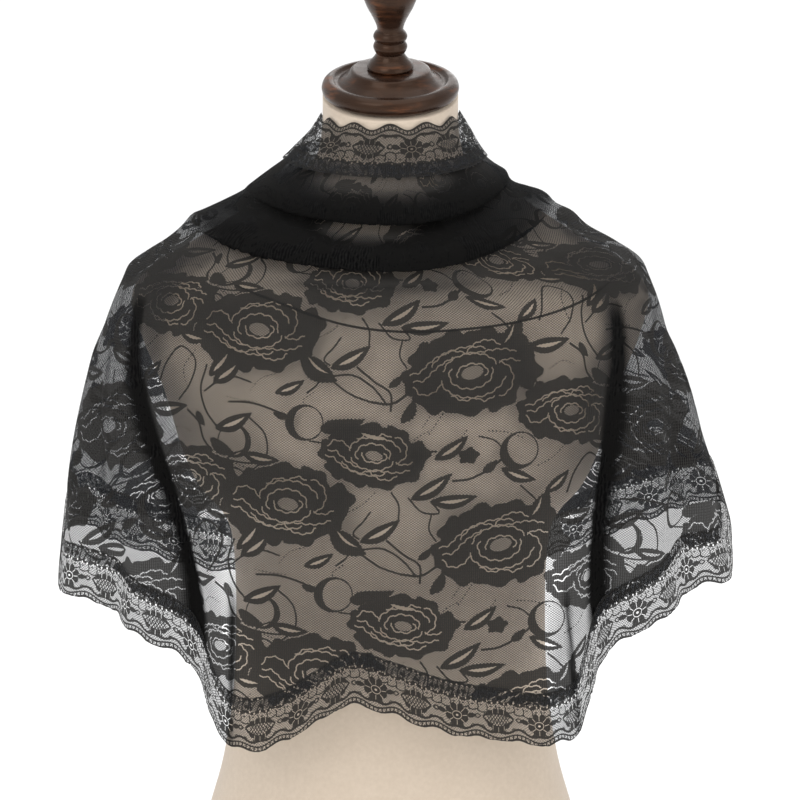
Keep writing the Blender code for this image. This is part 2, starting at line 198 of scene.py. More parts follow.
def yoke_row(front, front_drop, left, left_drop, right, right_drop, back, back_drop, side_y):
    x, y, _, _ = round_row(front, left, right, back, 2.0, side_y)
    side_drop = left_drop + (right_drop - left_drop) * ease((SINE + 1) / 2)
    drop = np.where(COSINE > 0, front_drop, back_drop)
    z = NECK_TOP - side_drop - (drop - side_drop) * np.abs(COSINE) ** 1.3
    return np.stack([x, y, z], axis=-1)


def off_fold(phi, top_phi, hem_phi, fall):
    """Angle from a fold's middle, which moves from its top to its hem angle as the cloth falls."""
    return half_turn(phi - (top_phi + (hem_phi - top_phi) * ease(fall * 1.15)))


def skirt_row(fall, top, hem):
    table = np.array(FALL_SECTIONS)
    front, left, right, back = (float(smooth(fall, table[:, 0], table[:, k])) for k in range(1, 5))
    x, y, side, reach = round_row(front, left, right, back, 2.0 - 0.1 * fall, 2.0)
    away_x, away_y = SINE / side, -COSINE / reach
    size = np.hypot(away_x, away_y)
    depth = np.zeros_like(PHI)
    for top_phi, hem_phi, start, width, deep in FOLDS:
        away = off_fold(PHI, top_phi, hem_phi, fall)
        depth += deep * ease((fall - start) / (0.75 - start)) * bell(away / width)
    z = top - (top - (NECK_TOP - hem)) * fall
    return np.stack([x - away_x / size * depth, y - away_y / size * depth, z], axis=-1)


def curve_through(rows, steps):
    """Smooth samples between points, or between rows of points, evenly many in each gap."""
    gap = np.linalg.norm(np.diff(rows, axis=0), axis=-1, keepdims=True) + 1e-6
    rate = np.diff(rows, axis=0) / gap
    slope = np.empty_like(rows)
    slope[1:-1] = (rate[1:] * gap[:-1] + rate[:-1] * gap[1:]) / (gap[:-1] + gap[1:])
    slope[0], slope[-1] = rate[0], rate[-1]
    out = []
    for i in range(len(rows) - 1):
        for s in np.arange(steps) / steps:
            out.append(hermite(s, rows[i], gap[i] * slope[i], rows[i + 1], gap[i] * slope[i + 1]))
    out.append(rows[-1])
    return np.array(out)


def length_along(points):
    """Length down a line, or down each column of a grid, from its first point."""
    steps = np.linalg.norm(np.diff(points, axis=0), axis=-1)
    return np.concatenate([np.zeros((1, *steps.shape[1:])), np.cumsum(steps, axis=0)])


def resampled(at, known_at, points):
    """Points at other places of a line, straight between the known ones."""
    return np.column_stack([np.interp(at, known_at, axis) for axis in points.T])


def cloth_samples():
    """Points down every column of the cloth, their levels q on the flat chart, their places among the
    sections, and the hem's levels. Where the cloth hangs q is its drop, above that its length."""
    hem_table = np.array(HEM_LINE, dtype=float)
    hem = smooth(PHI, hem_table[:, 0], hem_table[:, 1])
    rows = [yoke_row(*row) for row in YOKE_SECTIONS]
    top = rows[-1][:, 2]
    rows.append(skirt_row(FALL_START, top, hem))
    upper = curve_through(np.array(rows), STEPS)
    falls = np.linspace(FALL_START, 1.0, FALL_SAMPLES)[1:]
    lower = np.array([skirt_row(fall, top, hem) for fall in falls])
    points = np.concatenate([upper, lower])
    place = np.concatenate([np.arange(len(upper)) / STEPS, len(rows) - 1 + falls])
    along = length_along(points)
    hang = (len(YOKE_SECTIONS) - 1) * STEPS
    q = NECK_TOP - points[..., 2]
    q[:hang] = q[hang] - (along[hang] - along[:hang])
    return points, q, place, hem


SAMPLES, SAMPLE_Q, SAMPLE_PLACE, HEM_Q = cloth_samples()
LEVELS = np.arange(math.floor(SAMPLE_Q.min() / STEP) * STEP, HEM_Q.max() + 2 * STEP, STEP)
EDGE_Q = SAMPLE_Q[0]                       # the scalloped neck edge
NET_Q = SAMPLE_Q[2 * STEPS]                # the net begins
COLLAR_Q = SAMPLE_Q[3 * STEPS]             # the neck's edging ends
# the cloth and its places at each angle and level, and how far round each is from the front's middle
GRID = np.array([resampled(LEVELS, SAMPLE_Q[:, i], SAMPLES[:, i]) for i in range(len(PHI))])
PLACE = np.array([np.interp(LEVELS, down, SAMPLE_PLACE) for down in SAMPLE_Q.T])
WIDE = length_along(GRID[..., :2])
WIDE -= WIDE[len(PHI) // 2]
first_level = int(np.searchsorted(LEVELS, LEVEL))
WIDE[:, :first_level] = WIDE[:, first_level:first_level + 1]


def grid_normals(grid):
    """Outward normals of a grid of points, columns first."""
    across, down = np.gradient(grid, axis=0), np.gradient(grid, axis=1)
    normals = np.cross(down, across)
    return normals / np.maximum(np.linalg.norm(normals, axis=2, keepdims=True), 1e-9)


# the last fold's path across the chest, with painted shade along its underside, as p and q of its
# points on the flat chart
CHEST_FOLD = (-150, 143, -95, 161, -20, 181, 60, 182, 150, 167, 205, 147)
# creases: half width and height in mm, a trough where it is below 0, then p and q of each point
CREASES = [
    (5, 1.6, *CHEST_FOLD), (7, -1.6, -150, 155, -95, 175, -20, 195, 60, 194, 150, 179),
    (9, -3, -185, 180, -150, 215, -120, 260), (9, 2, -160, 185, -120, 235, -95, 300),
    (9, -3, 190, 178, 168, 220, 140, 270), (9, 2, 165, 190, 135, 235, 112, 300),
    (8, -3.2, -250, 180, -262, 260, -270, 330), (9, 2.6, -285, 190, -300, 270, -318, 350),
    (7, 2.2, -225, 200, -232, 290, -236, 360), (8, -3.2, 245, 185, 262, 250, 275, 330),
    (9, 2.6, 282, 190, 300, 260, 322, 340), (7, 2.2, 222, 205, 230, 290, 238, 360),
    (12, -1.6, -60, 330, -30, 380, -20, 440), (13, 1.8, 30, 330, 48, 390, 60, 450),
    (10, -3, -380, 190, -390, 270, -400, 360), (12, 3, -440, 185, -455, 280, -470, 370),
    (10, -3, 385, 190, 400, 270, 412, 350), (12, 3, 445, 185, 462, 280, 480, 370),
    (9, -2.4, -500, 200, -430, 215, -360, 205), (9, -2.4, 500, 205, 430, 222, 360, 208),
    (4, -1.3, -120, 60, -40, 78, 50, 76, 130, 62), (4.5, 1.2, -140, 100, -40, 122, 60, 118, 150, 96),
    (3.5, -1, -90, 20, 0, 34, 80, 26), (4.5, -1.3, -160, 130, -60, 148, 60, 146, 170, 126),
    (6, 2, -190, 52, -120, 66, -40, 96), (6.5, 2, -210, 84, -150, 96, -70, 126),
    (6, 1.6, -230, 112, -170, 120, -90, 142), (6, 2.2, 200, 40, 130, 58, 50, 92),
    (6, 1.8, 215, 72, 150, 88, 70, 124), (6.5, 2, 235, 104, 180, 112, 100, 140),
    (6, 1.6, -60, 62, 10, 84, 70, 88), (6, 1.6, -110, 108, -60, 132, -10, 138),
    (6, 1.8, 20, 128, 70, 130, 120, 112), (9, 2, 150, 60, 230, 66, 320, 90),
    (9, 2, -150, 66, -240, 74, -330, 100),
]


def near_path(path, p, q):
    """Distance from a path on the chart, and how far along it, 0 to 1."""
    best, where = np.full(p.shape, 1e9), np.zeros(p.shape)
    for i in range(len(path) - 1):
        (x0, y0), (x1, y1) = path[i], path[i + 1]
        dx, dy = x1 - x0, y1 - y0
        t = np.clip(((p - x0) * dx + (q - y0) * dy) / (dx * dx + dy * dy), 0.0, 1.0)
        away = np.hypot(p - x0 - t * dx, q - y0 - t * dy)
        closer = away < best
        best = np.where(closer, away, best)
        where = np.where(closer, (i + t) / (len(path) - 1), where)
    return best, where


def creased():
    """The grid with its creases, and ripples where it hangs. Troughs are shallower on the form."""
    level = np.broadcast_to(LEVELS, WIDE.shape)
    height = np.zeros(WIDE.shape)
    for width, rise, *path in CREASES:
        away, where = near_path(np.reshape(path, (-1, 2)), WIDE, level)
        height += rise * bell(away / width) * ease(where * 5) * ease((1 - where) * 5)
    back = ease((np.abs(PHI) - 95) / 20)[:, None]
    ripple = np.sin(WIDE / 23.0 + np.sin(level / 57.0) * 1.3) * np.sin(level / 71.0 + WIDE / 190.0)
    hang = ease((level - 190) / 60)
    height += ripple * hang * (0.7 + 0.5 * back)
    resting = 1 - ease((level - LEVEL) / 90)
    height = np.where(height < 0, height * (1 - 0.75 * resting), height)
    return GRID + grid_normals(GRID) * height[..., None]


GRID = creased()
FIRST_P, FIRST_Q = -math.ceil(max(-WIDE.min(), WIDE.max()) / STEP) * STEP, LEVELS[0]
CHART_P = np.arange(FIRST_P, WIDE.max() + 2 * STEP, STEP)
CHART_PHI = np.array([np.interp(CHART_P, across, PHI) for across in WIDE.T]).T
CHART = np.stack([resampled(CHART_PHI[:, j], PHI, GRID[:, j]) for j in range(len(LEVELS))], axis=1)
NORMALS = grid_normals(CHART)
GRID_NORMALS = grid_normals(GRID)


def read(table, a, b):
    """Bilinear reading of a table at fractional indices."""
    a = np.clip(a, 0, table.shape[0] - 1.001)
    b = np.clip(b, 0, table.shape[1] - 1.001)
    i, j = a.astype(int), b.astype(int)
    s, t = a - i, b - j
    if table.ndim == 3:
        s, t = s[:, None], t[:, None]
    return ((table[i, j] * (1 - s) + table[i + 1, j] * s) * (1 - t)
            + (table[i, j + 1] * (1 - s) + table[i + 1, j + 1] * s) * t)


def chart_index(p, q):
    return (p - FIRST_P) / STEP, (q - FIRST_Q) / STEP


def round_index(phi, q):
    return (phi - PHI[0]) / (PHI[1] - PHI[0]), (q - FIRST_Q) / STEP


def on_chart(p, q, lift=0.0):
    """Points of the cloth at places of its flat chart, lifted off it."""
    at = chart_index(p, q)
    return read(CHART, *at) + read(NORMALS, *at) * lift


def on_round(phi, q, lift):
    """Points of the cloth at an angle and a level, lifted off it."""
    at = round_index(phi, q)
    return read(GRID, *at) + read(GRID_NORMALS, *at) * lift


# how densely the cloth is gathered, by place among the sections: in front, and at the sides and behind
GATHERED = [
    (2, 0.25, 0.4), (3, 0.9, 0.5), (4.3, 0.95, 0.8), (5, 1, 0.95), (6, 1, 0.95), (7, 1, 0.9),
    (8, 0.95, 0.8), (9.1, 0.97, 0.88), (10, 1, 0.82), (11, 1, 0.6), (12, 1, 0.3), (12.6, 0.6, 0.14),
    (13.2, 0.12, 0.04), (13.8, 0.3, 0.02), (14.15, 0.6, 0.02), (14.6, 0.35, 0.02), (15, 0.05, 0.02),
    (16, 0, 0),
]
# strips that stay open among the rolls, where a 'how open' above 1 thins the net below its own cover,
# painted light against the shade in the valleys between the rolls: place, its half height, angle, half
# width, how open
OPEN_STRIPS = [(3.5, 0.62, -1, 33, 1.15), (8.45, 0.42, -8, 16, 1.1), (13.1, 0.5, -40, 20, 0.3),
               (14.1, 0.6, -42, 16, 0.55), (14.1, 0.6, 38, 13, 0.4)]
# folds deeper than these, in mm, show as darker lines, and as wider ones: partly the doubled cloth,
# partly painted shade inside the fold
SEEN_FOLD, DEEP_FOLD = 10, 20


def hanging(phi, fall):
    """How dark the cloth shows where it hangs clear of the form, turns away or is folded at the hem."""
    phi = half_turn(phi)
    side = np.abs(phi)
    first = np.minimum(50.0, 25 + 40 * (1 - fall) ** 2)
    clear = 0.36 * ease((side - first) / 5) * ease((140 - side) / 20)
    turn = 0.6 * bell((side - 91) / 2.5)
    corner = 0.95 * bell(np.where(phi > 0, phi - 33.6, phi + 29.2) / 0.9) * ease((fall - 0.6) / 0.1)
    return np.maximum(clear, np.maximum(turn, corner))


def density_and_shade(phi, q):
    """How closed the net shows, from 0 to 1, with painted shade down the deep folds; an opened strip
    may go a little below 0, which is painted light.
    """
    place = read(PLACE, *round_index(phi, q))
    at, before, beside = np.array(GATHERED).T
    aside = ease(np.where(phi < 0, -phi - 50, phi - 32) / 42)
    dense_and_shade = np.interp(place, at, before) * (1 - aside) + np.interp(place, at, beside) * aside
    # painted light: a strip opened past 1 thins the net below its own cover in the shaded valleys
    # between the rolls
    for level, high, turn, wide, much in OPEN_STRIPS:
        dense_and_shade -= much * bell((place - level) / high) * ease(1.5 - np.abs(phi - turn) / wide)
    dense_and_shade = np.maximum(dense_and_shade, -0.1)
    fall = np.clip(place - len(YOKE_SECTIONS), 0, 1)
    # painted shade, partly the doubled cloth: dark lines down the middles of the deep folds
    for top_phi, hem_phi, _, _, deep in FOLDS:
        if deep > SEEN_FOLD:
            away = off_fold(phi, top_phi, hem_phi, fall)
            wide = 3.2 + 1.8 * bell((fall - 0.35) / 0.2) if deep > DEEP_FOLD else 1.6
            dark = (1.0 if deep > DEEP_FOLD else 0.6) * ease((fall + 0.05) / 0.15)
            dense_and_shade = np.maximum(dense_and_shade, dark * np.minimum(1.0, 1.25 * bell(away / wide)))
    over = hanging(phi, fall)
    return np.where(over > np.maximum(dense_and_shade, 0.02), over, dense_and_shade)


# ---- the lace's drawing, in millimetres
# Closed outlines, each with what lies inside it: woven beats net, a window of net beats woven, and open
# beats all
NET, WOVEN, OPEN, WINDOW = 0, 1, 2, 3
RANDOM = np.random.default_rng(7)


def through(points, step):
    """A smooth line through a few points, resampled evenly."""
    rows = np.array(points, dtype=float)
    if len(rows) > 2:
        rows = curve_through(rows, 12)
    length = length_along(rows)
    count = max(2, int(round(length[-1] / step)) + 1)
    return resampled(np.linspace(0.0, length[-1], count), length, rows)


def sideways(line):
    """Unit vectors to the left of a line."""
    along = np.gradient(line, axis=0)
    along /= np.maximum(np.linalg.norm(along, axis=1, keepdims=True), 1e-9)
    return np.column_stack([-along[:, 1], along[:, 0]])


def zigzag(count):
    return np.where(np.arange(count) % 2, 1.0, -1.0)


def turned(x, y, degrees):
    """Points turned about the origin."""
    c, s = math.cos(math.radians(degrees)), math.sin(math.radians(degrees))
    return np.column_stack([x * c - y * s, x * s + y * c])


def ellipse(x, y, rx, ry, degrees, turn=0.0):
    """Points of an ellipse at given angles."""
    a = np.radians(degrees)
    return turned(rx * np.cos(a), ry * np.sin(a), turn) + (x, y)


def stroke(points, width, wobble=0.0, step=1.3):
    """A closed outline round a line of even or changing width."""
    line = through(points, step)
    side = sideways(line)
    if np.ndim(width):
        width = np.interp(np.linspace(0, 1, len(line)), np.linspace(0, 1, len(width)), width)
    half = (np.zeros(len(line)) + width)[:, None] / 2
    shake = side * (wobble * zigzag(len(line)) * RANDOM.uniform(0.5, 1.0, len(line)))[:, None]
    return np.concatenate([line + side * half + shake, (line - side * half + shake)[::-1]])


def scallops(points, deep, wide):
    """A line drawn again as a row of small rounded scallops."""
    line = through(points, 0.9)
    rise = deep * np.abs(np.sin(np.arange(len(line)) * 0.9 * math.pi / wide))
    return line + sideways(line) * (rise - deep / 2)[:, None]


def blob(x, y, rx, ry, turn=0.0, jag=0.3, lobes=0, lobe=0.0, step=1.3):
    """A rounded petal with the little steps of a knitted edge."""
    count = max(10, int(math.pi * (rx + ry) / step))
    a = np.arange(count) * 2 * math.pi / count
    shake = jag * zigzag(count) * RANDOM.uniform(0.2, 1.0, count)
    r = 1 + lobe * np.cos(a * lobes) + shake / max(rx, ry)
    return turned(rx * r * np.cos(a), ry * r * np.sin(a), turn) + (x, y)


def leaf(x, y, length, width, turn, bend=0.06, jag=0.25):
    """An almond leaf, pointed at both ends."""
    t = np.linspace(0, 1, max(6, int(length / 1.4)))
    half = width / 2 * np.sin(math.pi * t ** 0.85) ** 0.9
    middle = bend * length * (np.sin(math.pi * t) - 0.5)
    shake = jag * zigzag(len(t))
    shake[0] = shake[-1] = 0
    along, top, low = (t - 0.5) * length, middle + half + shake, middle - half + shake
    return turned(np.append(along, along[-2:0:-1]), np.append(top, low[-2:0:-1]), turn) + (x, y)


# a rose's petals: middle and reaches in hundredths of its half width and height, and turn
PETALS = [
    (-72, -2, 25, 40, 14), (-55, -46, 27, 34, -30), (-12, -70, 34, 27, -8), (40, -60, 27, 30, 28),
    (74, -14, 25, 38, -6), (62, 40, 27, 34, -26), (22, 72, 28, 27, -4), (-24, 68, 27, 30, 12),
    (-60, 48, 25, 30, 30), (0, 0, 68, 60, 0), (0, 30, 42, 40, 0), (30, -35, 36, 30, 20),
]
# the open lines round its eye: the same, then first and last angle, width and turn
PETAL_ARCS = [
    (2, 0, 21, 20, -35, 200, 1, 0), (0, -2, 30, 34, 150, 375, 1, 0), (0, 2, 38, 42, 15, 170, 0.95, 0),
    (3, -3, 46, 54, 195, 345, 1.0, 0), (-3, 4, 53, 56, 60, 160, 0.95, 0),
    (34, -22, 24, 40, -100, 60, 0.95, 15),
]
# the open lines between its outer petals, x and y of each point
PETAL_LINES = [
    (-80, -16, -74, -34, -58, -38, -46, -26, -40, -10), (-80, -4, -66, -6, -54, 10, -40, 26, -22, 40),
    (-84, 12, -70, 14, -58, 30, -42, 46, -20, 54, -4, 46), (-4, 46, 6, 62, 20, 70, 36, 66, 44, 54),
    (-4, 46, 14, 44, 32, 46, 50, 44, 66, 34), (40, 16, 56, 20, 70, 10),
    (-30, -46, -14, -62, 4, -60, 14, -68, 30, -60),
]


def rose(x, y, width, height, turn, seed, flip=1):
    """A full-blown rose: serrated petals about an eye of net, parted by thin open lines."""
    global RANDOM
    RANDOM = np.random.default_rng(100 + seed)
    w, h = width / 2, height / 2
    made = []
    for *sizes, a in PETALS:
        px, py, rx, ry = np.array(sizes) / 100 * (w, h, w, h)
        k = RANDOM.uniform(0.92, 1.08)
        made.append((WOVEN, blob(px, py, rx * k, ry * k, a, 0.6, 5, 0.13)))
    made.append((WINDOW, blob(0.02 * w, 0.0, 0.155 * w, 0.15 * h, 8, 0.25, 0, 0, 1.0)))
    for *sizes, start, end, thick, a in PETAL_ARCS:
        arc = ellipse(*np.array(sizes) / 100 * (w, h, w, h), np.linspace(start, end, 14), a)
        made.append((OPEN, stroke(scallops(arc, -1.3, 8.0), thick, 0.2, 1.1)))
    for line in PETAL_LINES:
        line = np.reshape(line, (-1, 2)) / 100 * (w, h)
        made.append((OPEN, stroke(scallops(line, 1.3, 7.0), 0.95, 0.2, 1.1)))
    return [(kind, turned(*outline.T, turn) * (1, flip) + (x, y)) for kind, outline in made]


def woven_leaf(*values):
    return [(WOVEN, leaf(*values))]


def slit(*values):
    return [(OPEN, leaf(*values))]


def woven_blob(*values):
    return [(WOVEN, blob(*values))]


def split_leaf(x, y, length, width, turn):
    vein = slit(x, y + 0.4, length * 0.6, width * 0.24, turn, 0.05, 0.2)
    return woven_leaf(x, y, length, width, turn) + vein


def ring(x, y, radius, thick, heavy):
    """A round loop of cord, swelling to one side."""
    degrees = np.linspace(0, 360, 34)
    width = 1 + (thick - 1) * (0.5 + 0.5 * np.cos(np.radians(degrees - heavy))) ** 3
    return [(WOVEN, stroke(ellipse(x, y, radius, radius * 0.98, degrees), width, 0.12, 1.5))]


def cord(width, *places):
    return [(WOVEN, stroke(np.reshape(places, (-1, 2)), width * 1.3, 0.12, 1.5))]


def dots(*places):
    """A broken line of stitches and gaps."""
    step, stitch, gap = 0.3, 1.7, 1.3
    line = through(np.reshape(places, (-1, 2)), step)
    out = []
    for i in range(int(len(line) * step / (stitch + gap))):
        a = int(i * (stitch + gap) / step)
        b = min(len(line) - 1, a + int(stitch / step))
        if b > a:
            out.append((WOVEN, stroke([line[a], line[b]], 0.9)))
    return out


REPEAT, DROP = 308.0, 134.6      # the lace's repeat, across and down
# what one repeat holds, in the order it is drawn. A leaf's row is its middle, length, width, turn, bend
# and jag; a cord's its width and then x and y of each point; a dotted line's only its points
MOTIFS = [
    (rose, (-6, -1, 106, 64, 10, 1), (152, 58, 113, 66, -4, 2, -1),        # the two big roses
     (67, -28, 88, 50, 14, 3), (226, 103, 90, 52, -14, 4, -1)),            # and two lesser ones
    (woven_leaf, (50, 79, 32, 11, 4, 0.12, 0.5)),
    (woven_blob, (36, 81, 6, 4, 20, 0.3)),
    (woven_leaf, (189, 36, 30, 15, -48, 0.05, 0.5), (36, 36, 34, 17, 42, 0.05, 0.5)),
    (slit, (36, 33, 20, 2.0, 48, 0.1, 0.2), (187, 35, 16, 1.8, -52, 0.1, 0.2)),
    (split_leaf, (63, 31, 36, 12, -20), (108, 4, 38, 12, -22), (123, 17, 38, 11, 4),
     (217, 49, 36, 12, 2), (-36, 28, 30, 12, -28), (271, 66, 34, 12, -14), (268, 20, 30, 11, -40),
     (-60, -2, 26, 10, 20)),
    (ring, (20, 74, 13.2, 7.0, 190), (181, -11, 13.5, 7.5, 160),
     (-40, 80, 12.5, 5.0, 20), (262, 112, 12.0, 5.5, 200)),
    (woven_leaf, (2, 66, 15, 6, 22), (155, -3, 15, 7, -28), (244, 60, 14, 6, 70), (94, 54, 15, 6, -30)),
    (cord, (1.3, -40, 50, -22, 53, -6, 60, 8, 69), (2, 33, 78, 38, 79), (1, 20, 88, 34, 92, 46, 94),
     (1.4, 124, 2, 138, 3, 150, 0, 168, -8), (1.1, 46, 34, 42, 30, 52, 20, 58, 14),
     (1.1, 78, 24, 80, 12, 76, 2), (1.2, 44, 42, 62, 44, 76, 56, 84, 70), (1.2, 44, 44, 58, 58, 72, 66),
     (1.5, 72, 66, 88, 70, 102, 64, 116, 56), (1.3, 66, 38, 78, 52, 88, 62, 86, 76),
     (1.1, 88, 8, 98, 22, 110, 24, 106, 16), (1, 104, 24, 100, 36, 104, 46),
     (1.2, 202, 92, 198, 80, 196, 74), (1.3, 186, 66, 200, 72, 206, 84),
     (1.3, 234, 52, 242, 62, 244, 76, 250, 86), (1.1, 196, 44, 204, 46, 212, 52),
     (1.1, 212, 30, 222, 14, 236, 4, 246, 14, 240, 32, 228, 44),
     (1.1, 250, 40, 262, 34, 276, 32, 290, 38), (1.1, 284, 64, 294, 78, 292, 96, 280, 104),
     (1.2, -52, 20, -60, 36, -58, 56, -50, 70), (1.1, -66, 86, -52, 92, -34, 98, -18, 100)),
    (dots, (108, 92, 124, 76, 138, 64), (112, 98, 128, 82, 142, 70), (-44, 96, -20, 108, 0, 112),
     (30, 52, 20, 58, 24, 62), (158, 104, 172, 108, 186, 116), (214, 68, 226, 64, 236, 70),
     (94, -14, 100, -34, 116, -40), (250, -20, 270, -26, 286, -24)),
    (split_leaf, (12, 46, 26, 9, -14), (70, 92, 34, 11, 24), (128, 112, 32, 11, -24),
     (176, 8, 30, 10, 30), (288, 96, 30, 10, 18), (206, 20, 26, 9, -30)),
    (woven_leaf, (100, 78, 22, 9, -50, 0.1, 0.5), (258, 84, 24, 10, 40, 0.1, 0.5)),
    (woven_blob, (-30, 112, 8, 6, 20, 0.5, 5, 0.15), (140, 120, 8, 6, 0, 0.5, 5, 0.15)),
    (cord, (1, 24, 52, 34, 46, 38, 40), (1.2, 80, 100, 96, 108, 116, 112),
     (1, 54, 88, 60, 100, 56, 112, 44, 118), (1.1, 176, 16, 184, 26, 188, 32),
     (1, 276, 88, 262, 92, 256, 102), (1, 150, -28, 162, -22, 170, -10)),
    (dots, (78, 110, 70, 122, 54, 128), (192, 4, 206, 0, 220, -10), (-60, 8, -72, 20, -70, 40),
     (-20, 44, -10, 36, 4, 34), (122, 30, 116, 42, 118, 56), (268, 46, 280, 50, 296, 54),
     (64, 0, 52, 8, 40, 12), (142, 100, 132, 112, 136, 124)),
]


def lace_drawing():
    return [shape for make, *rows in MOTIFS for row in rows for shape in make(*row)]


def inside(outline, points):
    """Which points lie inside a closed outline, by winding."""
    x, y = points[:, 0:1], points[:, 1:2]
    x0, y0 = outline[:, 0], outline[:, 1]
    x1, y1 = np.roll(x0, -1), np.roll(y0, -1)
    side = (x1 - x0) * (y - y0) - (x - x0) * (y1 - y0)
    up = (y0 <= y) & (y1 > y) & (side > 0)
    down = (y0 > y) & (y1 <= y) & (side < 0)
    return (up.sum(axis=1) - down.sum(axis=1)) != 0


def twice_area(points, faces):
    """Twice the flat area of each triangle."""
    a, b, c = (points[faces[:, k]] for k in range(3))
    return np.abs((b[:, 0] - a[:, 0]) * (c[:, 1] - a[:, 1]) - (b[:, 1] - a[:, 1]) * (c[:, 0] - a[:, 0]))


SPACING = 3.6                    # between the net's own points
ALL_TRIANGLES, NEAR = 0, 0.0005  # what delaunay_2d_cdt gives back, and how near two points are one
SLIVER = 1e-4                    # twice the area of the smallest triangle that is kept


def cut(outlines, width, height, down):
    """Triangles of one repeat, which runs on across and, if asked, down: points, corners and kinds."""
    shapes = []
    for kind, outline in outlines:
        for i in range(-2, 3):
            for j in (range(-2, 3) if down else (0,)):
                shape = outline + np.array([i * width, j * height])
                low, high = shape.min(axis=0), shape.max(axis=0)
                if low[0] < width and high[0] > 0 and low[1] < height and high[1] > 0:
                    shapes.append((kind, shape, low, high))
    nx, ny = int(round(width / SPACING)), int(round(height / SPACING))
    gx, gy = np.meshgrid(np.linspace(0, width, nx + 1), np.linspace(0, height, ny + 1))
    verts = [Vector((x, y)) for x, y in zip(gx.ravel(), gy.ravel())]
    edges = []
    index = np.arange(gx.size).reshape(gx.shape)
    for row in (index[0], index[-1], index[:, 0], index[:, -1]):
        edges += [(int(a), int(b)) for a, b in zip(row[:-1], row[1:])]
    for _, outline, _, _ in shapes:
        start, count = len(verts), len(outline)
        verts += [Vector((x, y)) for x, y in outline]
        edges += [(start + i, start + (i + 1) % count) for i in range(count)]
    points, _, faces, _, _, _ = delaunay_2d_cdt(verts, edges, [], ALL_TRIANGLES, NEAR, False)
    points = np.array([tuple(p) for p in points])
    faces = np.array([f[:3] for f in faces if len(f) == 3])
    middle = points[faces].mean(axis=1)
    keep = ((middle > 0) & (middle < (width, height))).all(axis=1)
    keep &= twice_area(points, faces) > SLIVER
    faces, middle = faces[keep], middle[keep]
    hit = np.zeros((4, len(faces)), dtype=bool)
    for kind, outline, low, high in shapes:
        near = np.nonzero(((middle > low) & (middle < high)).all(axis=1))[0]
        if len(near):
            hit[kind, near] |= inside(outline, middle[near])
    kinds = np.where(hit[OPEN], OPEN, np.where(hit[WINDOW], NET, np.where(hit[WOVEN], WOVEN, NET)))
    return points, faces, kinds


# ---- materials
def shader(name, colour, rough, **sockets):
    made = bpy.data.materials.new(name)
    made.use_nodes = True
    node = made.node_tree.nodes["Principled BSDF"]
    node.inputs["Base Color"].default_value = (*colour, 1.0)
    node.inputs["Roughness"].default_value = rough
    for key, value in sockets.items():
        node.inputs[key.replace("_", " ")].default_value = value
    return made, node.inputs, Wires(made)


class Wires:
    """Short ways to add nodes to a material. A value is a number, a colour or another node's socket."""

    def __init__(self, material):
        self.tree = material.node_tree

    def put(self, value, socket):
        if isinstance(value, (int, float)):
            socket.default_value = value
        elif isinstance(value, tuple):
            socket.default_value = (*value, 1.0)
        else:
            self.tree.links.new(value, socket)

    def node(self, kind, out=0, feed=(), **settings):
        """One output of a new node, whose inputs are fed by name or number."""
        made = self.tree.nodes.new(kind)
        for key, value in settings.items():
            setattr(made, key, value)
        for key, value in dict(feed).items():
            self.put(value, made.inputs[key])
        return made.outputs[out]

    def maths(self, operation, *values, clamp=False):
        return self.node("ShaderNodeMath", 0, enumerate(values), operation=operation, use_clamp=clamp)

    def wave(self, value, period):
        return self.maths("SINE", self.maths("MULTIPLY", value, 2 * math.pi / period))

    def parts(self, vector):
        return self.node("ShaderNodeSeparateXYZ", feed={0: vector}).node.outputs

    def chart(self):
        """The cloth's flat coordinates, in centimetres: both, then across and down."""
        uv = self.node("ShaderNodeUVMap", uv_map="Cloth")
        return (uv, *self.parts(uv)[:2])

    def place(self):
        return self.node("ShaderNodeTexCoord", "Object")

    def gathered_and_shade(self):
        return self.node("ShaderNodeAttribute", "Fac", attribute_name="gathered_and_shade")

    def noise(self, vector, scale, detail=2.0, rough=0.5):
        feed = {"Scale": scale, "Detail": detail, "Roughness": rough, "Vector": vector}
        return self.node("ShaderNodeTexNoise", "Fac", feed)

    def ramp(self, value, low, high, to_low=0.0, to_high=1.0):
        feed = {"Value": value, "From Min": low, "From Max": high, "To Min": to_low, "To Max": to_high}
        return self.node("ShaderNodeMapRange", "Result", feed, interpolation_type="SMOOTHSTEP")

    def mix(self, value, one, two):
        feed = {"Factor": value, "A": one, "B": two}
        return self.node("ShaderNodeMix", "Result", feed, data_type="RGBA")

    def filled(self, cover, dense_and_shade):
        """How much the cloth covers, closing up to all of it where it gathers and where shade is
        painted in; below 0, painted light thins it.
        """
        return self.maths("MULTIPLY_ADD", self.maths("SUBTRACT", 1.0, cover), dense_and_shade, cover, clamp=True)

    def bump(self, height, strength, distance):
        feed = {"Strength": strength, "Distance": distance, "Height": height}
        return self.node("ShaderNodeBump", 0, feed)


# how far apart they are, in centimetres: the gathered net's pleats, the woven's ribs and its courses
PLEAT, RIB, COURSE = 0.34, 0.15, 0.22
# and in the linen: warp threads round the form, and metres from weft thread to weft thread
WARP_THREADS, WEFT = 900.0, 0.0011


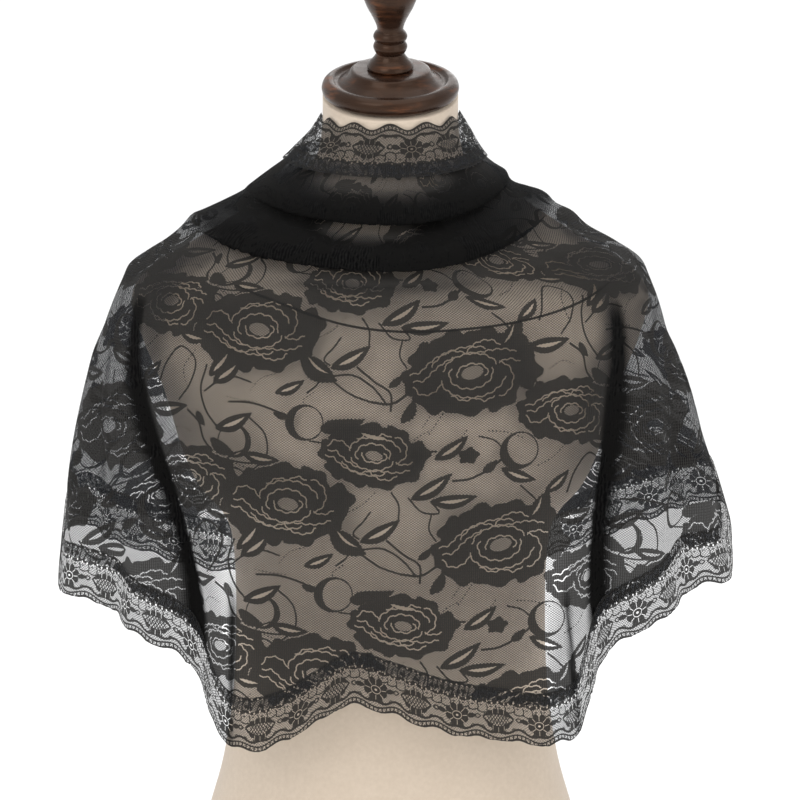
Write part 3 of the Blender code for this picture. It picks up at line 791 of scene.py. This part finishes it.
def net_material(name, across, down, fill):
    """Fine knitted net: two slanting families of threads, closing up and darkening where the cloth
    gathers and where shade is painted into the folds, thinner where light is painted between the rolls.
    A mesh is so many mm across and down, and fill is how much of it fluff covers."""
    made, sockets, w = shader(name, (0.005, 0.005, 0.005), 0.9, Specular_IOR_Level=0.05)
    thread = 0.14
    uv, u, v = w.chart()
    one, two = w.maths("DIVIDE", u, across / 10), w.maths("DIVIDE", v, down / 10)
    threads = []
    for turn in ("ADD", "SUBTRACT"):
        wave = w.maths("FRACT", w.maths(turn, one, two))
        edge = w.maths("ABSOLUTE", w.maths("SUBTRACT", wave, 0.5))
        threads.append(w.ramp(edge, 0.5 - thread, 0.5 - thread * 0.5))
    dense_and_shade = w.gathered_and_shade()
    uneven = w.ramp(w.noise(uv, 0.9, 3.0), 0.3, 0.7, fill * 0.6, fill * 1.4)
    w.put(w.filled(w.maths("MAXIMUM", w.maths("MAXIMUM", *threads), uneven), dense_and_shade), sockets["Alpha"])
    ribs = w.wave(w.maths("MULTIPLY_ADD", w.noise(uv, 1.4, 3.0), 0.7, u), PLEAT)
    value = w.maths("MULTIPLY_ADD", ribs, 0.25, w.noise(uv, 2.6, 4.0, 0.6))
    closed = w.mix(w.ramp(value, 0.25, 0.85), (0.0015, 0.0015, 0.0016), (0.0085, 0.0083, 0.0081))
    w.put(w.mix(dense_and_shade, (0.030, 0.032, 0.036), closed), sockets["Base Color"])
    return made


def woven_material(name, tint):
    """Close knitted ribs of the flowers."""
    made, sockets, w = shader(name, tint, 0.85, Specular_IOR_Level=0.08)
    uv, u, v = w.chart()
    dense_and_shade = w.gathered_and_shade()
    ribs = w.wave(w.maths("MULTIPLY_ADD", w.noise(uv, 6.0), 0.05, u), RIB)
    value = w.maths("MULTIPLY_ADD", ribs, 0.2, w.noise(uv, 20.0, 2.0, 0.7))
    value = w.maths("MULTIPLY_ADD", w.wave(v, COURSE), 0.07, value)
    # closer and darker where the cloth gathers and where shade is painted into the folds
    w.put(w.filled(w.ramp(value, 0.2, 0.75, 0.885, 1.0), dense_and_shade), sockets["Alpha"])
    dark, light = (tuple(c * share for c in tint) for share in (0.45, 2.3))
    single = w.mix(w.ramp(value, 0.15, 0.85), dark, light)
    w.put(w.mix(w.ramp(dense_and_shade, 0.35, 0.9), single, (0.004, 0.0038, 0.0036)), sockets["Base Color"])
    w.put(w.bump(value, 0.5, 0.0006), sockets["Normal"])
    return made


def linen_material():
    """Plain weave with slubs and faint clouds of colour."""
    made, sockets, w = shader("linen", (0.66, 0.55, 0.43), 0.85, Sheen_Weight=0.2, Sheen_Roughness=0.6)
    place = w.place()
    x, y, z = w.parts(place)
    turn = w.maths("ARCTAN2", x, w.maths("MULTIPLY", y, -1.0))
    warp = w.maths("SINE", w.maths("MULTIPLY", turn, WARP_THREADS))
    weave = w.maths("MULTIPLY", warp, w.wave(z, WEFT))
    slub, cloud = w.noise(place, 260.0, 3.0, 0.6), w.noise(place, 7.0, 3.0, 0.5)
    value = w.maths("MULTIPLY_ADD", slub, 0.5, w.maths("MULTIPLY", cloud, 0.6))
    value = w.maths("MULTIPLY_ADD", weave, 0.16, value)
    w.put(w.mix(w.ramp(value, 0.25, 0.95), (0.545, 0.445, 0.345), (0.665, 0.56, 0.45)),
          sockets["Base Color"])
    w.put(w.bump(w.maths("MULTIPLY_ADD", weave, 0.4, slub), 0.25, 0.0004), sockets["Normal"])
    return made


def wood_material():
    """Dark stained turned wood, its grain round the axis, worn brown in places."""
    made, sockets, w = shader("dark_wood", (0.02, 0.015, 0.014), 0.3, Coat_Weight=0.1,
                              Coat_Roughness=0.14, Specular_IOR_Level=0.34,
                              Specular_Tint=(1.0, 0.62, 0.42, 1.0))
    place = w.place()
    squeezed = w.node("ShaderNodeMapping", feed={"Vector": place})
    squeezed.node.inputs["Scale"].default_value = (1.0, 1.0, 7.0)
    grain, patch = w.noise(squeezed, 45.0, 5.0, 0.65), w.noise(place, 26.0, 3.0, 0.6)
    worn = w.maths("MULTIPLY", w.ramp(grain, 0.42, 0.72), w.ramp(patch, 0.45, 0.70))
    w.put(w.mix(worn, (0.017, 0.008, 0.005), (0.15, 0.052, 0.020)), sockets["Base Color"])
    w.put(w.ramp(grain, 0.3, 0.7, 0.22, 0.42), sockets["Roughness"])
    return made


LACE = (net_material("lace_net", 2.7, 1.9, 0.10),
        woven_material("lace_woven", (0.0155, 0.0148, 0.0140)))
EDGING = (net_material("edging_net", 2.6, 2.2, 0.13),
          woven_material("edging_woven", (0.0125, 0.012, 0.0115)))
LINEN, WOOD = linen_material(), wood_material()


# ---- pieces
def placed(name, data):
    made = bpy.data.objects.new(name, data)
    bpy.context.scene.collection.objects.link(made)
    return made


def piece(name, points, faces, materials, kinds=None, uv=None, dense_and_shade=None):
    """A mesh from arrays, points and uv in millimetres; kinds say which of the materials a face has."""
    used, inverse = np.unique(faces, return_inverse=True)
    points, faces = points[used], inverse.reshape(faces.shape)
    mesh = bpy.data.meshes.new(name)
    mesh.vertices.add(len(points))
    mesh.vertices.foreach_set("co", (points * MM).astype(np.float32).ravel())
    mesh.loops.add(faces.size)
    mesh.loops.foreach_set("vertex_index", faces.astype(np.int32).ravel())
    mesh.polygons.add(len(faces))
    mesh.polygons.foreach_set("loop_start", np.arange(0, faces.size, faces.shape[1], dtype=np.int32))
    for material in materials:
        mesh.materials.append(material)
    if kinds is not None:
        mesh.polygons.foreach_set("material_index", kinds.astype(np.int32))
    mesh.update(calc_edges=True)
    if uv is not None:
        uv = uv[used]
        low, high = uv.min(axis=0), uv.max(axis=0)
        for layer, at in (("Cloth", uv / 10), ("OFBake", (uv - low) / (high - low) * 0.98 + 0.01)):
            made = mesh.uv_layers.new(name=layer)
            made.data.foreach_set("uv", at[faces.ravel()].astype(np.float32).ravel())
    if dense_and_shade is not None:
        layer = mesh.attributes.new("gathered_and_shade", "FLOAT", "POINT")
        layer.data.foreach_set("value", dense_and_shade[used].astype(np.float32))
    mesh.polygons.foreach_set("use_smooth", np.full(len(faces), True))
    made = placed(name, mesh)
    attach(made, "root")
    return made


def merged(points, faces, kinds):
    """One point for each place, so that neighbouring repeats share edges; slivers and doubles go."""
    key = np.round(points / 0.02).astype(np.int64)
    _, first, inverse = np.unique(key, axis=0, return_index=True, return_inverse=True)
    faces = inverse.ravel()[faces]
    whole = (faces != np.roll(faces, 1, axis=1)).all(axis=1)
    faces, kinds = faces[whole], kinds[whole]
    once = np.sort(np.unique(np.sort(faces, axis=1), axis=0, return_index=True)[1])
    return points[first], faces[once], kinds[once]


def repeated(pattern, places, wanted):
    """The wanted triangles of a cut repeat, laid at places that are functions of its points."""
    points, faces, kinds = pattern
    parts, count = [], 0
    for place in places:
        at = place(points)
        near = wanted(at[faces].mean(axis=1), kinds)
        if near.any():
            parts.append((at, faces[near] + count, kinds[near]))
            count += len(at)
    return merged(*(np.concatenate(part) for part in zip(*parts)))


ANCHOR = (-97.0, 183.5)          # the first big rose's place on the chart
ROW_SLOPE = -9.6                 # degrees: the lace's rows slope down to the wearer's left
SHUT = 0.3                       # where the density, with its painted fold shade, passes this, open lines are shut


def lace_pieces():
    """The net's front and back, and the flat area of each in square metres."""
    def repeat_at(i, j):
        return lambda at: turned(at[:, 0] + i * REPEAT, at[:, 1] + j * DROP, ROW_SLOPE) + ANCHOR

    def wanted(middle, _):
        return ((np.abs(middle[:, 0]) < CHART_P[-1]) & (middle[:, 1] > LEVELS[0])
                & (middle[:, 1] < LEVELS[-1]))

    flat, faces, kinds = repeated(cut(lace_drawing(), REPEAT, DROP, True),
                                  [repeat_at(i, j) for i in range(-4, 5) for j in range(-4, 5)], wanted)
    p, q = flat[faces].mean(axis=1).T
    phi = read(CHART_PHI, *chart_index(p, q))
    shut = density_and_shade(phi, q) > SHUT
    kinds = np.where((kinds == OPEN) & shut, NET, kinds)
    keep = ((p > np.interp(q, LEVELS, WIDE[0])) & (p < np.interp(q, LEVELS, WIDE[-1]))
            & (q > np.interp(phi, PHI, NET_Q)) & (q < np.interp(phi, PHI, HEM_Q) - TRIM_HEIGHT)
            & (kinds != OPEN))
    solid = on_chart(*flat.T)
    dense_and_shade = density_and_shade(read(CHART_PHI, *chart_index(*flat.T)), flat[:, 1])
    made = {}
    for name, where in (("front", np.abs(phi) <= 90), ("back", np.abs(phi) > 90)):
        here, of_kind = faces[keep & where], kinds[keep & where]
        made[name] = piece("lace_" + name, solid, here, LACE, of_kind, flat, dense_and_shade)
        made[name + "_area"] = float(twice_area(flat, here).sum()) / 2 * MM * MM
    return made


# ---- the edging
# x runs along it, 40 mm to a scallop. Heights are given from its free edge (0) up to the net (43) and
# turned over when drawn
PITCH = 40.0
TWO = 2 * PITCH                  # the drawing holds two scallops


def flipped(points):
    """Points with their heights measured down from the net's side."""
    points = np.array(points, dtype=float)
    return np.column_stack([points[:, 0], TRIM - points[:, 1]])


def edging_drawing():
    out = []
    wave = np.linspace(0, TWO, 49)

    def thread(points, width, wobble=0.0, kind=WOVEN):
        out.append((kind, stroke(flipped(points), width, wobble)))

    def dot(x, y, rx, ry, turn, jag, kind=WOVEN):
        out.append((kind, blob(x, TRIM - y, rx, ry, turn, jag)))

    def band(top, low, rise, count, phase=0.0):
        a = 2 * math.pi * count * wave / TWO + phase
        out.append((WOVEN, flipped(np.concatenate([
            np.column_stack([wave, top - rise * np.cos(a)]),
            np.column_stack([wave, low - rise * np.sin(a + 1.0)])[::-1]]))))

    def line(level, rise, width):
        thread([(x, level + rise * math.cos(2 * math.pi * 4 * x / TWO)) for x in wave], width, 0.15)

    # the seam: two dark wavy bands with a row of cells between them
    band(42.6, 40.0, 0.8, 7)
    band(32.2, 29.6, 0.7, 6, 0.7)
    chance = np.random.default_rng(31)
    for i in range(15):
        x, a, b, c = (i + 0.5) * PITCH / 7.5, *chance.uniform(-1, 1, 3)
        thread([(x - 2 + a, 32), (x + 1.2 * b, 36), (x + 1.4 + 2 * c, 40.5)],
               (1.1 + 0.4 * a, 1.7 + 0.7 * b, 0.9), 0.2)
        if b > -0.2:
            dot(x + 2.4 * c, 35.8 + a, 2.6 + a, 1.5, 30 * b, 0.3)
        dot(x + 1.5 + a, 31.0 + 1.2 * b, 0.5 + 0.3 * abs(c), 0.9, 40 * c, 0.05, OPEN)
        dot(x - 1.2 + b, 40.4 + c, 0.9, 0.5 + 0.3 * abs(a), 30 * a, 0.05, OPEN)
    # the free edge: a cord and a row of eyelets, then a second wavy line
    out.append((WOVEN, flipped([(x, 2.0) for x in wave] + [(x, -0.2) for x in wave[::-1]])))
    line(4.9, 0.0, 1.3)
    for i in range(20):
        x = (i + 0.5) * PITCH / 10
        thread([(x, 1.0), (x + 0.1, 5.0)], 1.3)
    line(8.6, 1.0, 2.0)
    # an almond of fine lattice between two scalloped leaves
    lens, level, half_wide = PITCH * 0.5, 18.0, 15.0
    for side in (-1, 1):
        t = np.linspace(-1, 1, 15)
        thread(np.column_stack([lens + half_wide * t, level - side * 6.3 * (1 - t ** 2)]),
               (1.2, 3.2, 4.2, 3.2, 1.2), 0.3)
        for k in (-0.55, -0.18, 0.18, 0.55):
            dot(lens + half_wide * k, level - side * 7.2 * (1 - k * k), 2.5, 1.7, 0, 0.25)
        for k in (-0.36, 0.0, 0.36):
            thread([(lens + half_wide * k, level - side * rise * (1 - k * k)) for rise in (5.2, 8.6)],
                   0.35, kind=OPEN)
    for i in range(-3, 4):
        x, half = lens + i * 3.0, 5.4 * (1 - (i * 3.0 / half_wide) ** 2)
        for slant in (0.8, -0.8):
            thread([(x - slant * half, level + half), (x + slant * half, level - half)], 0.8)
    # a flower of eight round petals with a leaf on either side
    bloom, level = PITCH * 1.5, 17.6
    for k in range(8):
        a, b = 2 * math.pi * (k + 0.5) / 8, 2 * math.pi * k / 8
        dot(bloom + 7.6 * math.cos(a), level - 5.4 * math.sin(a), 4.1, 3.2, math.degrees(a), 0.2)
        thread([(bloom + 5.4 * math.cos(b), level - 3.8 * math.sin(b)),
                (bloom + 9.6 * math.cos(b), level - 7.0 * math.sin(b))], 0.45, kind=OPEN)
    dot(bloom, level, 5.8, 4.0, 0, 0.1)
    a = np.linspace(0, 2 * math.pi, 22)
    thread(np.column_stack([bloom + 4.4 * np.cos(a), level - 2.9 * np.sin(a)]), 0.5, kind=OPEN)
    dot(bloom, level, 1.3, 0.8, 0, 0.05, OPEN)
    for side in (-1, 1):
        out.append((WOVEN, leaf(bloom + side * 14.4, TRIM - level, 9.5, 4.4, 0, 0.0, 0.1)))
        start, middle, end = (bloom + side * x for x in (17.0, 20.0, 23.0))
        for y in (19.4, 15.8):
            thread([(start, level), (middle, y), (end, 18.0)], 1.2)
    # cells of thin thread above them, and short ties below
    for i in range(10):
        x = i * TWO / 9.0
        low = 24.0 + 1.4 * math.cos(2 * math.pi * (x - lens) / PITCH)
        thread([(x - 0.5, 28.9), (x + 0.8, 26.6), (x + 0.1, low)], 1.1, 0.1)
        thread([(x + 0.1, low), (x + 4.4, low - 1.2), (x + 8.9, low)], 1.1, 0.1)
        thread([(x + 2.6, 27.4), (x + 5.0, 27.6)], 0.9)
    for i in range(8):
        x = i * PITCH / 4 + 5
        thread([(x - 2.6, 8.0), (x, 10.6), (x + 2.6, 8.2)], 1.0, 0.1)
    return out


EDGE_CUT = cut(edging_drawing(), TWO, TRIM, False)
LIFT = CLOTH + SEAM_GAP
STRIP_LIFT = 0.7
BACK_SEAM_HALF = 0.75            # degrees


def edging(name, phis, place):
    """Edging laid round the cloth: phis, the angle at each scallop's end; place, from angle, y and
    the scallop's wave to points."""
    scallops = len(phis) - 1

    def shifted(i):
        return lambda points: points + np.array([i * TWO, 0.0])

    def wanted(middle, kinds):
        return (middle[:, 0] < scallops * PITCH) & (kinds != OPEN)

    places = [shifted(i) for i in range(math.ceil(scallops / 2))]
    flat, faces, kinds = repeated(EDGE_CUT, places, wanted)
    x, y = flat.T
    phi = np.interp(x / PITCH, np.arange(scallops + 1), phis)
    free = np.clip((y - TRIM_OVERLAP) / TRIM_HEIGHT, 0, 1)
    wave = np.cos(2 * math.pi * x / PITCH) * SCALLOP_DEPTH * free
    seam = 0.3 * ease((13 - y) / 4)
    # the collar's edging is thinned 0.1 below its seam band: painted light against the shade under the
    # cap
    dense_and_shade = np.maximum(seam, 0.75 * hanging(phi, 1.0)) if name.startswith("hem") else seam - 0.1
    return piece(name, place(half_turn(phi), y, wave), faces, EDGING, kinds, flat, dense_and_shade)


def hem_place(phi, y, wave):
    return on_round(phi, np.interp(phi, PHI, HEM_Q) - TRIM + y - wave, LIFT)


def collar_place(phi, y, wave):
    low, high = np.interp(phi, PHI, COLLAR_Q), np.interp(phi, PHI, EDGE_Q)
    up = np.outer(wave, (0.0, 0.0, 1.0))
    return on_round(phi, low + (high - low) * y / TRIM, LIFT + SEAM_GAP) + up


def even_hem(first, last, scallops):
    """Angles that share the hem's length evenly between scallops."""
    fine = np.linspace(first, last, 400)
    folded = half_turn(fine)
    length = length_along(on_round(folded, np.interp(folded, PHI, HEM_Q) - 1.0, 0.0))
    return np.interp(np.linspace(0, length[-1], scallops + 1), length, fine)


def strip(name, a, b):
    """A ribbon of the edging's cloth between two lines of points, in millimetres."""
    count = len(a)
    i = np.arange(count - 1)
    faces = np.column_stack([i, i + count, i + count + 1, i + 1])
    uv = np.column_stack([np.tile(np.arange(count) * 2.0, 2), np.repeat([0.0, 3.0], count)])
    return piece(name, np.concatenate([a, b]), faces, EDGING[1:], uv=uv)


def back_strip():
    """A narrow seam down the middle of the back, over the repeat's two ends."""
    levels = np.linspace(float(NET_Q[0]) + 2, float(HEM_Q[0]) - TRIM_HEIGHT, 160)
    edge = np.full(len(levels), 180.0 - BACK_SEAM_HALF)
    return strip("back_seam", on_round(edge, levels, STRIP_LIFT), on_round(-edge, levels, STRIP_LIFT))


def chest_shade_strip():
    """A dark strip of painted shade under the last fold, tapering at both ends."""
    path = through(np.reshape(CHEST_FOLD, (-1, 2)), 2.0)
    tip = 0.9 * ease(np.linspace(0, 8, len(path))) * ease(np.linspace(8, 0, len(path)))
    p, q = path.T
    return strip("chest_fold_shade", on_chart(p, q - tip, STRIP_LIFT), on_chart(p, q + tip, STRIP_LIFT))


# ---- the form and its wood
def tube_faces(rows, columns):
    """Quads of a grid whose rows are closed rings, as corners of the grid's flat list."""
    i, j = np.meshgrid(np.arange(rows - 1), np.arange(columns), indexing="ij")
    k = (j + 1) % columns
    low, high = i * columns, (i + 1) * columns
    return np.stack([low + j, low + k, high + k, high + j], axis=-1).reshape(-1, 4)


def lathe(name, profile, matrix, steps=72):
    """A turned piece, its profile's corners rounded twice."""
    rows = np.array(profile, dtype=float)
    for _ in range(2):
        inner = [rows[0]]
        for a, b in zip(rows[:-1], rows[1:]):
            inner += [a * 0.8 + b * 0.2, a * 0.2 + b * 0.8]
        rows = np.array(inner + [rows[-1]])
    a = np.arange(steps) * 2 * math.pi / steps
    points = np.stack([rows[:, 0:1] * np.cos(a), rows[:, 0:1] * np.sin(a),
                       np.repeat(rows[:, 1:2], steps, axis=1)], axis=-1).reshape(-1, 3)
    made = piece(name, points, tube_faces(len(rows), steps), (WOOD,))
    made.data.transform(matrix)
    return made


def build_wood():
    neck = FORM_SECTIONS[0]
    middle_y = (neck[3] - neck[2]) / 2
    neck_drop = neck[0] - middle_y * math.tan(NECK_TILT)
    lift = -CAP_PROFILE[0][1] + SEAM_GAP
    y, z = middle_y - lift * math.sin(NECK_TILT), NECK_TOP - neck_drop + lift * math.cos(NECK_TILT)
    tilted = Matrix.Translation((0.0, y * MM, z * MM)) @ Matrix.Rotation(NECK_TILT, 4, "X")
    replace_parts(lathe("turned_cap", CAP_PROFILE, tilted, 96), "neck_cap")
    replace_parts(lathe("turned_finial", FINIAL_PROFILE, tilted), "finial")
    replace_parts(lathe("turned_stand", STAND_PROFILE, Matrix.Identity(4), 96), "stand")


def build_form():
    table = np.array(FORM_SECTIONS)
    known = np.arange(len(table), dtype=float)
    at = np.linspace(0, len(table) - 1, (len(table) - 1) * 6 + 1)
    columns = 144
    a = np.arange(columns) * 2 * math.pi / columns
    sine, cosine = np.sin(a), np.cos(a)
    rows = []
    for drop, half, front, back, power, lean in zip(*(smooth(at, known, column) for column in table.T)):
        x, y = half * powered(sine, power), -np.where(cosine > 0, front, back) * powered(cosine, power)
        rows.append(np.stack([x, y, NECK_TOP - drop + y * math.tan(NECK_TILT * lean)], axis=-1))
    first, last = (rows[end].mean(axis=0) * 0.98 + rows[end] * 0.02 for end in (0, -1))
    points = np.array([first, *rows, last])
    faces = tube_faces(len(points), columns)[:, [0, 3, 2, 1]]      # its rows run down, a lathe's up
    made = piece("linen_form", points.reshape(-1, 3), faces, (LINEN,))
    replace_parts(made, "form_torso")
    return made


# ---- stage, light and camera
FLOOR_REACH, FLOOR_SIDES, FLOOR_DROP = 26, 64, 0.0005
# name, place, power and target of each square lamp, in metres and watts
LAMPS = [("key", (-1.3, -2.2, 2.1), 18.0, (0, 0, 0.55)), ("fill", (1.7, -1.8, 1.2), 7.0, (0, 0, 0.5)),
         ("back", (0.4, 2.2, 1.8), 10.0, (0, 0, 0.6))]
LAMP_SIZE = 1.6
LOOK_DOWN = 10.0                 # degrees


def build_stage():
    scene = bpy.context.scene
    world = bpy.data.worlds.new("studio")
    scene.world = world
    world.use_nodes = True
    world.node_tree.nodes["Background"].inputs["Color"].default_value = (1.0, 1.0, 1.0, 1.0)
    world.node_tree.nodes["Background"].inputs["Strength"].default_value = 0.82
    scene.view_settings.view_transform = "Standard"
    mesh = bpy.data.meshes.new("floor")
    a = np.linspace(0, 2 * math.pi, FLOOR_SIDES, endpoint=False)
    rim = [(FLOOR_REACH * math.cos(t), FLOOR_REACH * math.sin(t), -FLOOR_DROP) for t in a]
    mesh.from_pydata(rim, [], [tuple(range(FLOOR_SIDES))])
    floor = placed("floor", mesh)
    pale, sockets, w = shader("pale_floor", (0.93, 0.93, 0.93), 0.9)
    w.put(w.mix(w.noise(w.place(), 3.0), (0.92, 0.92, 0.92), (0.94, 0.94, 0.94)), sockets["Base Color"])
    mesh.materials.append(pale)
    for name, place, power, target in LAMPS:
        light = bpy.data.lights.new(name, "AREA")
        light.size, light.energy = LAMP_SIZE, power
        lamp = placed(name, light)
        lamp.location = place
        lamp.rotation_euler = (Vector(target) - Vector(place)).to_track_quat("-Z", "Y").to_euler()
    sun = bpy.data.lights.new("sky", "SUN")
    sun.angle, sun.energy = 1.2, 1.0
    placed("sky", sun).rotation_euler = (0.25, 0.1, 0.0)


def build_camera():
    data = bpy.data.cameras.new("camera")
    data.lens, data.sensor_width = 168.75, 36.0
    camera = placed("camera", data)
    camera.location = (0.0076, -2.9544, 1.0649)
    camera.rotation_euler = (math.radians(90.0 - LOOK_DOWN), 0.0, 0.0)
    bpy.context.scene.camera = camera


build_camera()
build_stage()
form = build_form()
build_wood()
lace = lace_pieces()
hem_front = edging("hem_edging_front", even_hem(-90.0, 90.0, FRONT_SCALLOPS), hem_place)
hem_back = edging("hem_edging_back", even_hem(90.0, 270.0, BACK_SCALLOPS), hem_place)
collar_front = edging("collar_edging_front", np.linspace(-90, 90, NECK_FRONT + 1), collar_place)
collar_back = edging("collar_edging_back", np.linspace(90, 270, NECK_BACK + 1), collar_place)
back_seam = back_strip()
chest_fold_shade = chest_shade_strip()

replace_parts(lace["front"], "shawl_front")
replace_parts(lace["back"], "shawl_back")
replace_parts(hem_front, "hem_trim_front")
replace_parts(hem_back, "hem_trim_back")
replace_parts(collar_front, "collar_trim_front")
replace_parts(collar_back, "collar_trim_back")
